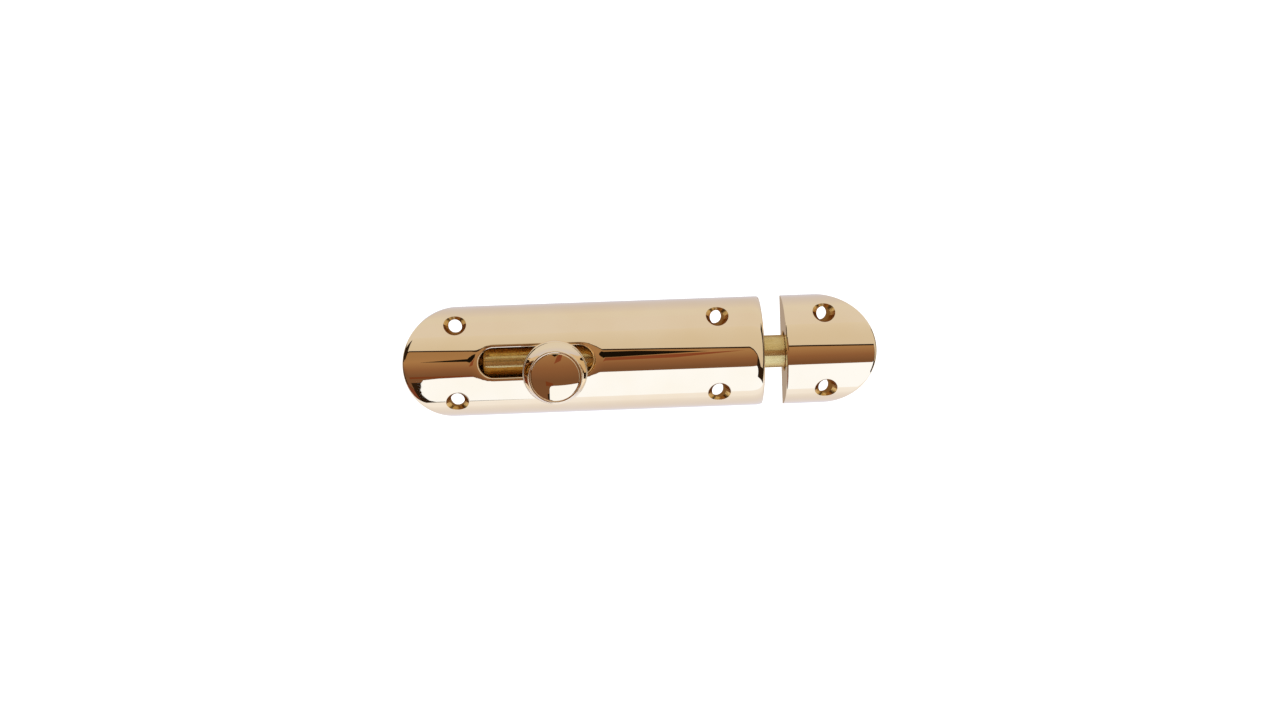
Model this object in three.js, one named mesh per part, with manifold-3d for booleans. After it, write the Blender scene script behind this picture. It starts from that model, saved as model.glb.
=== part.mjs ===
// Half-round surface slide bolt with its keep, in solid brass.
//
// The case is a length of half-round bar, drilled from its square end for a round rod and slotted on
// top for the knob. The keep is a short length of the same bar with a blind bore for the rod's end.
// Millimetres. +Z points out of the mounting face, +X is the way the rod is thrown, and the origin is
// the middle of the case's flat back. The rod is drawn part-thrown, with its end in the keep.

import * as THREE from "three";
import { mergeVertices } from "three/addons/utils/BufferGeometryUtils.js";
import Module from "manifold-3d";

const wasm = await Module();
wasm.setup();

// Driving dimensions of the half-round bar, case and keep
const BAR_RADIUS = 15.6; // half the bar's width, and its height above the flat back
const CASE_LENGTH = 101.6;
const KEEP_LENGTH = 25.4;
const KEEP_GAP = 6.2; // between case and keep as fitted
const AXIS_HEIGHT = 7.0; // rod axis above the flat back

// Rod, and the bores it runs in
const ROD_RADIUS = 4.6;
const ROD_TAIL_X = -28.5;
const ROD_NOSE_X = 68.5;
const ROD_TAIL_CHAMFER = 0.6;
const ROD_NOSE_CHAMFER = 0.9;
const CASE_BORE_RADIUS = ROD_RADIUS + 0.3;
const CASE_BORE_END_X = -47.6;
const KEEP_BORE_RADIUS = 5.5;
const KEEP_BORE_DEPTH = 20.5;

// Slot that the knob's stud runs along
const SLOT_START_X = -29.6;
const SLOT_END_X = 2.6;
const SLOT_WIDTH = 8.5;

// Screw holes: straight down, with a countersink square to the curved surface
const CASE_HOLE_XS = [-35.9, 38.0];
const KEEP_HOLE_X = 68.3;
const HOLE_Y = 10.3;
const HOLE_RADIUS = 2.0;
const SINK_Y = 10.9;
const SINK_RADIUS = 3.25;
const SINK_DEPTH = 1.2;

// Knob and its stud, measured outwards from the rod's axis
const KNOB_X = -8.5;
const KNOB_LEAN = THREE.MathUtils.degToRad(9.4); // the stud leans on the slot's edge
const STUD_RADIUS = 2.5;
const STUD_FOOT = -1.2;
const STUD_TOP = 18.0;
const STUD_CHAMFER = 0.4;
const THREAD_GAP = 0.3;
const KNOB_FOOT = 9.2;
const KNOB_TOP = 23.2;
const KNOB_RADIUS = 9.0;
const KNOB_FACE_RADIUS = 7.0;

// Ball, spring and screw in a cross-hole of the rod, that make it drag on the case's bore
const DRAG_X = 30.0;
const DRAG_HOLE_RADIUS = 1.85;
const BALL_RADIUS = 1.55;
const BALL_CENTRE = BALL_RADIUS - CASE_BORE_RADIUS + 0.05;
const SPRING_WIRE_RADIUS = 0.2;
const SPRING_COIL_RADIUS = 1.2;
const SPRING_TURNS = 5;
const SPRING_GAP = 0.1;
const SCREW_RADIUS = 1.55;
const SCREW_FOOT = 1.6;
const SCREW_TOP = 4.2;
const HEX_RADIUS = 0.85;
const HEX_DEPTH = 1.3;

// Fineness of the facets
const BAR_ARC_STEPS = 28;
const ROUND_STEPS = 48;
const SMALL_ROUND_STEPS = 24;
const SLOT_ARC_STEPS = 12;
const SPRING_STEPS_PER_TURN = 16;
const SPRING_SIDES = 6;
const OVERSHOOT = 1.0; // how far a cutter passes the face it cuts

const POLISHED_BRASS = { color: 0xd9b571, roughness: 0.1, metalness: 1 };
const SATIN_BRASS = { color: 0xb99a58, roughness: 0.34, metalness: 1 };
const BRIGHT_STEEL = { color: 0xb9bcc0, roughness: 0.3, metalness: 1 };
const SPRING_STEEL = { color: 0x8f9398, roughness: 0.38, metalness: 1 };

// ---- Solids ----

function solidOf(geometry) {
  const bare = geometry.index ? geometry.toNonIndexed() : geometry.clone();
  bare.deleteAttribute("normal");
  bare.deleteAttribute("uv");
  const merged = mergeVertices(bare, 1e-4);
  return new wasm.Manifold(
    new wasm.Mesh({
      numProp: 3,
      vertProperties: merged.attributes.position.array,
      triVerts: new Uint32Array(merged.index.array),
    }),
  );
}

function geometryOf(solid) {
  const mesh = solid.getMesh();
  const geometry = new THREE.BufferGeometry()
    .setAttribute("position", new THREE.BufferAttribute(mesh.vertProperties, 3))
    .setIndex(new THREE.BufferAttribute(mesh.triVerts, 1));
  geometry.computeVertexNormals();
  return geometry;
}

function named(name, geometry, finish) {
  const mesh = new THREE.Mesh(geometry, new THREE.MeshStandardMaterial(finish));
  mesh.name = name;
  return mesh;
}

// Cylinder along X between two places
function cylinderAlongX(radius, fromX, toX, height) {
  return new THREE.CylinderGeometry(radius, radius, toX - fromX, ROUND_STEPS)
    .rotateZ(-Math.PI / 2)
    .translate((fromX + toX) / 2, 0, height);
}

// Cylinder along Z between two heights
function cylinderAlongZ(radius, x, y, fromZ, toZ, steps = SMALL_ROUND_STEPS) {
  return new THREE.CylinderGeometry(radius, radius, toZ - fromZ, steps)
    .rotateX(Math.PI / 2)
    .translate(x, y, (fromZ + toZ) / 2);
}

// Turned solid about Z: profile points are radius and height, from the foot up
function turnedAboutZ(profile, steps) {
  const points = profile.map(([radius, height]) => new THREE.Vector2(radius, height));
  return new THREE.LatheGeometry(points, steps).rotateX(Math.PI / 2);
}

// ---- Half-round bar ----

// Half-round bar between two places, with its flat face at z = 0
function halfRoundBar(fromX, toX) {
  const section = new THREE.Shape().absarc(0, 0, BAR_RADIUS, 0, Math.PI, false);
  const bar = new THREE.ExtrudeGeometry(section, {
    depth: toX - fromX,
    bevelEnabled: false,
    curveSegments: BAR_ARC_STEPS,
  });
  const sectionToBar = new THREE.Matrix4().makeBasis(
    new THREE.Vector3(0, 1, 0),
    new THREE.Vector3(0, 0, 1),
    new THREE.Vector3(1, 0, 0),
  );
  return bar.applyMatrix4(sectionToBar).translate(fromX, 0, 0);
}

// Plan outline that is square at one end and half round at the other, as a block to intersect with
function roundEndedBlock(squareX, roundX) {
  const way = Math.sign(roundX - squareX);
  const centreX = roundX - way * BAR_RADIUS;
  const side = BAR_RADIUS + OVERSHOOT;
  const square = squareX - way * OVERSHOOT;
  const startAngle = (-way * Math.PI) / 2;
  const outline = new THREE.Shape()
    .moveTo(square, -way * side)
    .lineTo(centreX, -way * side)
    .lineTo(centreX, -way * BAR_RADIUS)
    .absarc(centreX, 0, BAR_RADIUS, startAngle, startAngle + Math.PI, false)
    .lineTo(centreX, way * side)
    .lineTo(square, way * side);
  return new THREE.ExtrudeGeometry(outline, {
    depth: BAR_RADIUS + 2 * OVERSHOOT,
    bevelEnabled: false,
    curveSegments: BAR_ARC_STEPS,
  }).translate(0, 0, -OVERSHOOT);
}

// Screw hole through the bar, and the countersink at its mouth
function screwHole(x, side) {
  const throughHole = solidOf(
    cylinderAlongZ(HOLE_RADIUS, x, side * HOLE_Y, -OVERSHOOT, BAR_RADIUS + OVERSHOOT),
  );
  const mouth = new THREE.Vector3(0, side * SINK_Y, Math.sqrt(BAR_RADIUS ** 2 - SINK_Y ** 2));
  const outwards = mouth.clone().normalize();
  mouth.x = x;
  const slope = (SINK_RADIUS - HOLE_RADIUS) / SINK_DEPTH;
  const cone = new THREE.CylinderGeometry(
    SINK_RADIUS + slope * OVERSHOOT,
    HOLE_RADIUS,
    SINK_DEPTH + OVERSHOOT,
    SMALL_ROUND_STEPS,
  ).translate(0, (OVERSHOOT - SINK_DEPTH) / 2, 0);
  const turn = new THREE.Quaternion().setFromUnitVectors(new THREE.Vector3(0, 1, 0), outwards);
  cone.applyQuaternion(turn).translate(mouth.x, mouth.y, mouth.z);
  return throughHole.add(solidOf(cone));
}

function withScrewHoles(solid, xs) {
  return xs
    .flatMap((x) => [screwHole(x, 1), screwHole(x, -1)])
    .reduce((left, hole) => left.subtract(hole), solid);
}

// ---- The separate pieces ----

function caseGeometry() {
  const endX = CASE_LENGTH / 2;
  const bar = solidOf(halfRoundBar(-endX, endX)).intersect(solidOf(roundEndedBlock(endX, -endX)));
  const bore = cylinderAlongX(CASE_BORE_RADIUS, CASE_BORE_END_X, endX + OVERSHOOT, AXIS_HEIGHT);
  const halfWidth = SLOT_WIDTH / 2;
  const outline = new THREE.Shape()
    .absarc(SLOT_END_X - halfWidth, 0, halfWidth, -Math.PI / 2, Math.PI / 2, false)
    .absarc(SLOT_START_X + halfWidth, 0, halfWidth, Math.PI / 2, (3 * Math.PI) / 2, false);
  const slot = new THREE.ExtrudeGeometry(outline, {
    depth: BAR_RADIUS,
    bevelEnabled: false,
    curveSegments: SLOT_ARC_STEPS,
  }).translate(0, 0, AXIS_HEIGHT);
  const opened = bar.subtract(solidOf(bore)).subtract(solidOf(slot));
  return geometryOf(withScrewHoles(opened, CASE_HOLE_XS));
}

function keepGeometry() {
  const faceX = CASE_LENGTH / 2 + KEEP_GAP;
  const endX = faceX + KEEP_LENGTH;
  const bar = solidOf(halfRoundBar(faceX, endX)).intersect(solidOf(roundEndedBlock(faceX, endX)));
  const bore = cylinderAlongX(
    KEEP_BORE_RADIUS,
    faceX - OVERSHOOT,
    faceX + KEEP_BORE_DEPTH,
    AXIS_HEIGHT,
  );
  return geometryOf(withScrewHoles(bar.subtract(solidOf(bore)), [KEEP_HOLE_X]));
}

// Round rod about its own axis, tapped for the stud and cross-drilled for the drag ball
function rodGeometry() {
  const profile = [
    [0, ROD_TAIL_X],
    [ROD_RADIUS - ROD_TAIL_CHAMFER, ROD_TAIL_X],
    [ROD_RADIUS, ROD_TAIL_X + ROD_TAIL_CHAMFER],
    [ROD_RADIUS, ROD_NOSE_X - ROD_NOSE_CHAMFER],
    [ROD_RADIUS - ROD_NOSE_CHAMFER, ROD_NOSE_X],
    [0, ROD_NOSE_X],
  ];
  const rod = turnedAboutZ(profile, ROUND_STEPS).rotateY(Math.PI / 2);
  const studHole = cylinderAlongZ(
    STUD_RADIUS + THREAD_GAP,
    KNOB_X,
    0,
    STUD_FOOT - THREAD_GAP,
    ROD_RADIUS + OVERSHOOT,
  );
  const crossHole = cylinderAlongZ(
    DRAG_HOLE_RADIUS,
    DRAG_X,
    0,
    -ROD_RADIUS - OVERSHOOT,
    ROD_RADIUS + OVERSHOOT,
  );
  return geometryOf(solidOf(rod).subtract(solidOf(studHole)).subtract(solidOf(crossHole)));
}

// Turned knob: neck, hollow flare to the rim, tapered side, and a nearly flat face inside a bead
function knobGeometry() {
  const neckRadius = 4.0;
  const neckTop = KNOB_FOOT + 1.6;
  const rimLow = KNOB_FOOT + 6.9;
  const rimHigh = rimLow + 1.3;
  const flareSteps = 8;
  const flare = Array.from({ length: flareSteps + 1 }, (_, i) => {
    const turn = (i / flareSteps) * (Math.PI / 2);
    return [
      neckRadius + (KNOB_RADIUS - 0.3 - neckRadius) * (1 - Math.cos(turn)),
      neckTop + (rimLow - 0.3 - neckTop) * Math.sin(turn),
    ];
  });
  const profile = [
    [0, KNOB_FOOT],
    [neckRadius - 0.3, KNOB_FOOT],
    [neckRadius, KNOB_FOOT + 0.3],
    ...flare,
    [KNOB_RADIUS, rimLow],
    [KNOB_RADIUS, rimHigh],
    [KNOB_RADIUS - 0.25, rimHigh + 0.35],
    [KNOB_FACE_RADIUS + 0.35, KNOB_TOP - 0.9],
    [KNOB_FACE_RADIUS + 0.2, KNOB_TOP - 0.4],
    [KNOB_FACE_RADIUS - 0.2, KNOB_TOP - 0.15],
    [KNOB_FACE_RADIUS * 0.5, KNOB_TOP - 0.04],
    [0, KNOB_TOP],
  ];
  const tapping = cylinderAlongZ(
    STUD_RADIUS + THREAD_GAP,
    0,
    0,
    KNOB_FOOT - OVERSHOOT,
    STUD_TOP + THREAD_GAP,
  );
  const knob = solidOf(turnedAboutZ(profile, ROUND_STEPS)).subtract(solidOf(tapping));
  return geometryOf(knob).translate(KNOB_X, 0, 0);
}

function studGeometry() {
  const profile = [
    [0, STUD_FOOT],
    [STUD_RADIUS - STUD_CHAMFER, STUD_FOOT],
    [STUD_RADIUS, STUD_FOOT + STUD_CHAMFER],
    [STUD_RADIUS, STUD_TOP - STUD_CHAMFER],
    [STUD_RADIUS - STUD_CHAMFER, STUD_TOP],
    [0, STUD_TOP],
  ];
  return turnedAboutZ(profile, SMALL_ROUND_STEPS).translate(KNOB_X, 0, 0);
}

function ballGeometry() {
  return new THREE.SphereGeometry(BALL_RADIUS, SMALL_ROUND_STEPS, SMALL_ROUND_STEPS / 2).translate(
    DRAG_X,
    0,
    BALL_CENTRE,
  );
}

function springGeometry() {
  const low = BALL_CENTRE + BALL_RADIUS + SPRING_GAP + SPRING_WIRE_RADIUS;
  const high = SCREW_FOOT - SPRING_GAP - SPRING_WIRE_RADIUS;
  const steps = SPRING_TURNS * SPRING_STEPS_PER_TURN;
  const turns = Array.from({ length: steps + 1 }, (_, i) => {
    const angle = (2 * Math.PI * i) / SPRING_STEPS_PER_TURN;
    return new THREE.Vector3(
      DRAG_X + SPRING_COIL_RADIUS * Math.cos(angle),
      SPRING_COIL_RADIUS * Math.sin(angle),
      low + ((high - low) * i) / steps,
    );
  });
  const wire = new THREE.Shape().absarc(0, 0, SPRING_WIRE_RADIUS, 0, 2 * Math.PI, false);
  return new THREE.ExtrudeGeometry(wire, {
    steps,
    extrudePath: new THREE.CatmullRomCurve3(turns),
    curveSegments: SPRING_SIDES / 2,
  });
}

// Headless screw with a hexagon socket
function screwGeometry() {
  const body = cylinderAlongZ(SCREW_RADIUS, DRAG_X, 0, SCREW_FOOT, SCREW_TOP);
  const socket = cylinderAlongZ(
    HEX_RADIUS,
    DRAG_X,
    0,
    SCREW_TOP - HEX_DEPTH,
    SCREW_TOP + OVERSHOOT,
    6,
  );
  return geometryOf(solidOf(body).subtract(solidOf(socket)));
}

// ---- The assembly ----

const shoot = new THREE.Group();
shoot.position.z = AXIS_HEIGHT;
shoot.rotation.x = KNOB_LEAN;
shoot.add(
  named("bolt_rod", rodGeometry(), SATIN_BRASS),
  named("knob", knobGeometry(), POLISHED_BRASS),
  named("knob_stud", studGeometry(), BRIGHT_STEEL),
  named("drag_ball", ballGeometry(), BRIGHT_STEEL),
  named("drag_spring", springGeometry(), SPRING_STEEL),
  named("drag_screw", screwGeometry(), BRIGHT_STEEL),
);

const slideBolt = new THREE.Group();
slideBolt.add(
  named("case", caseGeometry(), POLISHED_BRASS),
  named("keep", keepGeometry(), POLISHED_BRASS),
  shoot,
);

export default slideBolt;
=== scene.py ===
"""A half-round brass slide bolt and its keep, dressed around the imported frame.

Shapes are worked out in millimetres, in the frame's own axes: +X is the way the rod is thrown, +Z is
out of the mounting face. They are turned to metres as the last step of each piece.
"""

from __future__ import annotations

import logging
import math
from dataclasses import dataclass, field
from enum import IntEnum
from typing import Callable, Iterable, Sequence

import bmesh
import bpy
from mathutils import Matrix, Vector

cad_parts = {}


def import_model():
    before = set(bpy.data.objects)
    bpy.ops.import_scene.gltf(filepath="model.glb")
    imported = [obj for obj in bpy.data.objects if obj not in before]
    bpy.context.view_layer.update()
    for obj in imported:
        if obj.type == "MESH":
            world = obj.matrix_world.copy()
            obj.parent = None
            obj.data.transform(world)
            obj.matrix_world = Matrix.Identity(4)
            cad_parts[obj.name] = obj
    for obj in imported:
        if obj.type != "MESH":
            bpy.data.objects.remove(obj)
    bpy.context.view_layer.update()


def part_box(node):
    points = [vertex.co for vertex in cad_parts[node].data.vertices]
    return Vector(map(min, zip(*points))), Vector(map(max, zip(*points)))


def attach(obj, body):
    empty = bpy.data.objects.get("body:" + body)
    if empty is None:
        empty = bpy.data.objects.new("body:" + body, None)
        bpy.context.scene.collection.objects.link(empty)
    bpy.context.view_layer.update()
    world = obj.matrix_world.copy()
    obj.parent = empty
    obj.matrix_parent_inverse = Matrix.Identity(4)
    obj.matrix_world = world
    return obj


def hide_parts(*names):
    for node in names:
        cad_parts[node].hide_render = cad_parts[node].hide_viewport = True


LOG = logging.getLogger("slide_bolt")
MM = 0.001
MERGE_MM = 2e-4  # places closer than this are one
SHARP_DEGREES = 35.0  # edges sharper than this stay sharp: on the bar and the rod
TURNED_SHARP_DEGREES = 50.0  # on the knob
SMALL_SHARP_DEGREES = 40.0  # on the stud and the small parts
CASE_BORE_RADIUS = 4.9

Point = tuple[float, float]
Place = tuple[float, float, float]


# ---------------------------------------------------------------- colours and shader nodes


def linear(hex_code: str) -> tuple[float, float, float, float]:
    """Turn an sRGB hex colour to the linear values that a shader takes.

    Args:
        hex_code: Colour as "#RRGGBB".

    Returns:
        Linear red, green and blue, and an alpha of 1.
    """
    channels = [int(hex_code[i : i + 2], 16) / 255 for i in (1, 3, 5)]
    r, g, b = (c / 12.92 if c <= 0.04045 else ((c + 0.055) / 1.055) ** 2.4 for c in channels)
    return r, g, b, 1.0


def add_node(
    tree: bpy.types.NodeTree, kind: str, inputs: dict | None = None, **settings: object
) -> bpy.types.Node:
    """Add a shader node with its settings and links.

    Args:
        tree: Node tree that the node goes in.
        kind: Name of the node's type.
        inputs: Input name or number to a value, or to the socket that feeds it.
        **settings: Properties of the node itself.

    Returns:
        The new node.
    """
    node = tree.nodes.new(kind)
    for name, value in settings.items():
        setattr(node, name, value)
    for key, value in (inputs or {}).items():
        if isinstance(value, bpy.types.NodeSocket):
            tree.links.new(value, node.inputs[key])
        else:
            node.inputs[key].default_value = value
    return node


def set_ramp(node: bpy.types.Node, stops: Sequence[tuple[float, tuple]]) -> None:
    """Give a colour ramp its stops.

    Args:
        node: A ShaderNodeValToRGB.
        stops: Position and linear colour of each stop, lowest first.
    """
    elements = node.color_ramp.elements
    while len(elements) < len(stops):
        elements.new(1.0)
    for element, (position, colour) in zip(elements, stops):
        element.position = position
        element.color = colour


def new_material(name: str) -> tuple[bpy.types.Material, bpy.types.NodeTree, bpy.types.Node]:
    """Make an empty node material.

    Args:
        name: The material's name.

    Returns:
        The material, its node tree and its output node.
    """
    material = bpy.data.materials.new(name)
    material.use_nodes = True
    tree = material.node_tree
    tree.nodes.clear()
    return material, tree, add_node(tree, "ShaderNodeOutputMaterial")


@dataclass(frozen=True)
class MirrorBrass:
    """Cast and mopped yellow brass under clear lacquer: a near mirror with faint polishing lines."""

    name: str = "brass_mirror_polished_lacquered"
    metal: str = "#F5DCB4"
    warm_metal: str = "#F3D8AD"
    roughness: float = 0.008
    haze: float = 0.007
    lacquer: float = 0.12
    wave_mm: float = 14.0  # mop waves, wide and very shallow
    line_mm: float = 0.35  # polishing lines, drawn wider than the real 0.05 mm so that they show
    line_depth_mm: float = 0.00001
    line_way: Place = (0.06, 1.0, 1.0)  # lines lie along the bar

    def build(self) -> bpy.types.Material:
        """Make the material.

        Returns:
            The material.
        """
        material, tree, output = new_material(self.name)
        coords = add_node(tree, "ShaderNodeTexCoord").outputs["Object"]
        # The mop leaves a slow change of tone where the lacquer lies thicker.
        tone = add_node(
            tree,
            "ShaderNodeTexNoise",
            {"Vector": coords, "Scale": 1 / (self.wave_mm * MM), "Detail": 2.0},
        )
        colour = add_node(tree, "ShaderNodeValToRGB", {"Fac": tone.outputs["Fac"]})
        set_ramp(colour, [(0.35, linear(self.metal)), (0.75, linear(self.warm_metal))])
        # Polishing lines haze the reflections a little along the bar.
        along = add_node(tree, "ShaderNodeMapping", {"Vector": coords, "Scale": self.line_way})
        lines = add_node(
            tree,
            "ShaderNodeTexNoise",
            {"Vector": along.outputs["Vector"], "Scale": 1 / (self.line_mm * MM), "Detail": 3.0},
        )
        haze = add_node(
            tree,
            "ShaderNodeMapRange",
            {
                "Value": lines.outputs["Fac"],
                "From Min": 0.3,
                "From Max": 0.8,
                "To Min": self.roughness,
                "To Max": self.roughness + self.haze,
            },
        )
        bump = add_node(
            tree,
            "ShaderNodeBump",
            {"Height": lines.outputs["Fac"], "Distance": self.line_depth_mm * MM, "Strength": 1.0},
        )
        shader = add_node(
            tree,
            "ShaderNodeBsdfPrincipled",
            {
                "Base Color": colour.outputs["Color"],
                "Metallic": 1.0,
                "Roughness": haze.outputs["Result"],
                "Normal": bump.outputs["Normal"],
                "Coat Weight": self.lacquer,
                "Coat Roughness": 0.03,
            },
        )
        tree.links.new(shader.outputs["BSDF"], output.inputs["Surface"])
        return material


@dataclass(frozen=True)
class CutBrass:
    """Bare brass as a drill, mill or linisher leaves it: deeper gold, with fine tool lines."""

    name: str = "brass_drilled_bare"
    metal: str = "#E6BA70"
    dull_metal: str = "#C8964A"
    roughness: float = 0.22
    line_mm: float = 0.22  # tool lines, drawn wider than the real 0.1 mm so that they show
    line_depth_mm: float = 0.0025
    line_way: Place = (0.15, 0.15, 1.0)  # lines lie across the long axis of the tool

    def build(self) -> bpy.types.Material:
        """Make the material.

        Returns:
            The material.
        """
        material, tree, output = new_material(self.name)
        coords = add_node(tree, "ShaderNodeTexCoord").outputs["Object"]
        # Tool lines stretch the highlights across them, and their grooves are darker than their crests.
        across = add_node(tree, "ShaderNodeMapping", {"Vector": coords, "Scale": self.line_way})
        lines = add_node(
            tree,
            "ShaderNodeTexNoise",
            {"Vector": across.outputs["Vector"], "Scale": 1 / (self.line_mm * MM), "Detail": 4.0},
        )
        colour = add_node(tree, "ShaderNodeValToRGB", {"Fac": lines.outputs["Fac"]})
        set_ramp(colour, [(0.3, linear(self.dull_metal)), (0.65, linear(self.metal))])
        rough = add_node(
            tree,
            "ShaderNodeMapRange",
            {
                "Value": lines.outputs["Fac"],
                "To Min": self.roughness + 0.12,
                "To Max": self.roughness - 0.06,
            },
        )
        bump = add_node(
            tree,
            "ShaderNodeBump",
            {"Height": lines.outputs["Fac"], "Distance": self.line_depth_mm * MM, "Strength": 0.8},
        )
        shader = add_node(
            tree,
            "ShaderNodeBsdfPrincipled",
            {
                "Base Color": colour.outputs["Color"],
                "Metallic": 1.0,
                "Roughness": rough.outputs["Result"],
                "Normal": bump.outputs["Normal"],
            },
        )
        tree.links.new(shader.outputs["BSDF"], output.inputs["Surface"])
        return material


@dataclass(frozen=True)
class SatinBrass:
    """Drawn brass rod, not lacquered: satin, a little olive, with fine drawing lines and rub marks."""

    name: str = "brass_drawn_satin"
    metal: str = "#EBD08C"
    worn_metal: str = "#DDBF78"
    roughness: float = 0.14
    groove_roughness: float = 0.65
    groove_share: float = 0.42
    line_mm: float = 0.25  # drawing lines, wider than the real 0.05 mm so that they show
    line_depth_mm: float = 0.00015
    line_way: Place = (0.12, 1.0, 1.0)  # lines lie along the rod
    blotch_mm: float = 2.2
    blotch_share: float = 0.45

    def build(self) -> bpy.types.Material:
        """Make the material.

        Returns:
            The material.
        """
        material, tree, output = new_material(self.name)
        coords = add_node(tree, "ShaderNodeTexCoord").outputs["Object"]
        # Drawing lines run along the rod, and handling leaves paler and darker blotches over them.
        drawn = add_node(tree, "ShaderNodeMapping", {"Vector": coords, "Scale": self.line_way})
        lines = add_node(
            tree,
            "ShaderNodeTexNoise",
            {"Vector": drawn.outputs["Vector"], "Scale": 1 / (self.line_mm * MM), "Detail": 1.5},
        )
        blotches = add_node(
            tree,
            "ShaderNodeTexNoise",
            {"Vector": coords, "Scale": 1 / (self.blotch_mm * MM), "Detail": 2.0},
        )
        both = add_node(
            tree,
            "ShaderNodeMix",
            {"Factor": self.blotch_share, "A": lines.outputs["Fac"], "B": blotches.outputs["Fac"]},
            data_type="FLOAT",
        )
        colour = add_node(tree, "ShaderNodeValToRGB", {"Fac": both.outputs["Result"]})
        set_ramp(colour, [(0.35, linear(self.worn_metal)), (0.65, linear(self.metal))])
        rough = add_node(
            tree,
            "ShaderNodeMapRange",
            {
                "Value": both.outputs["Result"],
                "From Min": 0.3,
                "From Max": 0.7,
                "To Min": self.roughness + 0.07,
                "To Max": self.roughness - 0.04,
            },
        )
        bump = add_node(
            tree,
            "ShaderNodeBump",
            {"Height": both.outputs["Result"], "Distance": self.line_depth_mm * MM, "Strength": 1.0},
        )
        # The burnished crests of the drawing lines shine, and the grooves between them stay matt.
        crests, grooves = (
            add_node(
                tree,
                "ShaderNodeBsdfPrincipled",
                {
                    "Base Color": colour.outputs["Color"],
                    "Metallic": 1.0,
                    "Roughness": roughness,
                    "Normal": bump.outputs["Normal"],
                },
            )
            for roughness in (rough.outputs["Result"], self.groove_roughness)
        )
        both_lobes = add_node(
            tree,
            "ShaderNodeMixShader",
            {0: self.groove_share, 1: crests.outputs["BSDF"], 2: grooves.outputs["BSDF"]},
        )
        tree.links.new(both_lobes.outputs["Shader"], output.inputs["Surface"])
        return material


@dataclass(frozen=True)
class PlainSteel:
    """Steel of a small bought-in part: zinc plated on screws, polished on the ball, drawn on the wire."""

    name: str
    metal: str
    roughness: float
    grain_mm: float

    def build(self) -> bpy.types.Material:
        """Make the material.

        Returns:
            The material.
        """
        material, tree, output = new_material(self.name)
        coords = add_node(tree, "ShaderNodeTexCoord").outputs["Object"]
        # A fine grain breaks the highlight up a little.
        grain = add_node(
            tree,
            "ShaderNodeTexNoise",
            {"Vector": coords, "Scale": 1 / (self.grain_mm * MM), "Detail": 3.0},
        )
        rough = add_node(
            tree,
            "ShaderNodeMapRange",
            {
                "Value": grain.outputs["Fac"],
                "To Min": self.roughness * 0.7,
                "To Max": self.roughness * 1.3,
            },
        )
        shader = add_node(
            tree,
            "ShaderNodeBsdfPrincipled",
            {
                "Base Color": linear(self.metal),
                "Metallic": 1.0,
                "Roughness": rough.outputs["Result"],
            },
        )
        tree.links.new(shader.outputs["BSDF"], output.inputs["Surface"])
        return material


@dataclass
class Finishes:
    """Every finish of the bolt, built once and shared."""

    mirror: bpy.types.Material = field(default_factory=lambda: MirrorBrass().build())
    drilled: bpy.types.Material = field(default_factory=lambda: CutBrass().build())
    linished: bpy.types.Material = field(
        default_factory=lambda: CutBrass(
            name="brass_linished_back",
            metal="#E6C384",
            dull_metal="#CDA766",
            roughness=0.3,
            line_way=(0.05, 1.0, 1.0),
        ).build()
    )
    satin: bpy.types.Material = field(default_factory=lambda: SatinBrass().build())
    plated: bpy.types.Material = field(
        default_factory=lambda: PlainSteel("steel_zinc_plated", "#C9CBD0", 0.28, 0.5).build()
    )
    ball: bpy.types.Material = field(
        default_factory=lambda: PlainSteel("steel_ball_polished", "#D2D4D8", 0.08, 0.3).build()
    )
    wire: bpy.types.Material = field(
        default_factory=lambda: PlainSteel("steel_spring_wire", "#A2A6AB", 0.3, 0.15).build()
    )


# ---------------------------------------------------------------- mesh helpers


class Region(IntEnum):
    """What each face of a piece belongs to. The number is its material slot while it is modelled."""

    SKIN = 0  # the polished half-round surface
    EDGE = 1  # softened edges
    FACE = 2  # the polished square end
    WALL = 3  # the upright wall of the round end
    SLOT = 4  # walls of the slot
    HOLE = 5  # screw holes
    BACK = 6  # the flat back
    BORE = 7  # the bore for the rod


def box_mm(node: str) -> tuple[Vector, Vector]:
    """Lowest and highest corner of a CAD node, in millimetres."""
    low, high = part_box(node)
    return low / MM, high / MM


def extrude_edges(
    bm: bmesh.types.BMesh,
    edges: Iterable[bmesh.types.BMEdge],
    place: Callable[[Vector], Vector],
    region: Region,
) -> list[bmesh.types.BMEdge]:
    """Extrude edges and put each new vertex where its old one sends it.

    Args:
        bm: The mesh.
        edges: Edges to extrude.
        place: Gives a new vertex's place from the old vertex's place.
        region: What the new faces belong to.

    Returns:
        The new edges that lie opposite the old ones.
    """
    made = bmesh.ops.extrude_edge_only(bm, edges=list(edges))["geom"]
    fresh = {g for g in made if isinstance(g, bmesh.types.BMVert)}
    for face in (g for g in made if isinstance(g, bmesh.types.BMFace)):
        face.material_index = region
    for vertex in fresh:
        vertex.co = place(vertex.co.copy())
    return [g for g in made if isinstance(g, bmesh.types.BMEdge) and set(g.verts) <= fresh]


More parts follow.
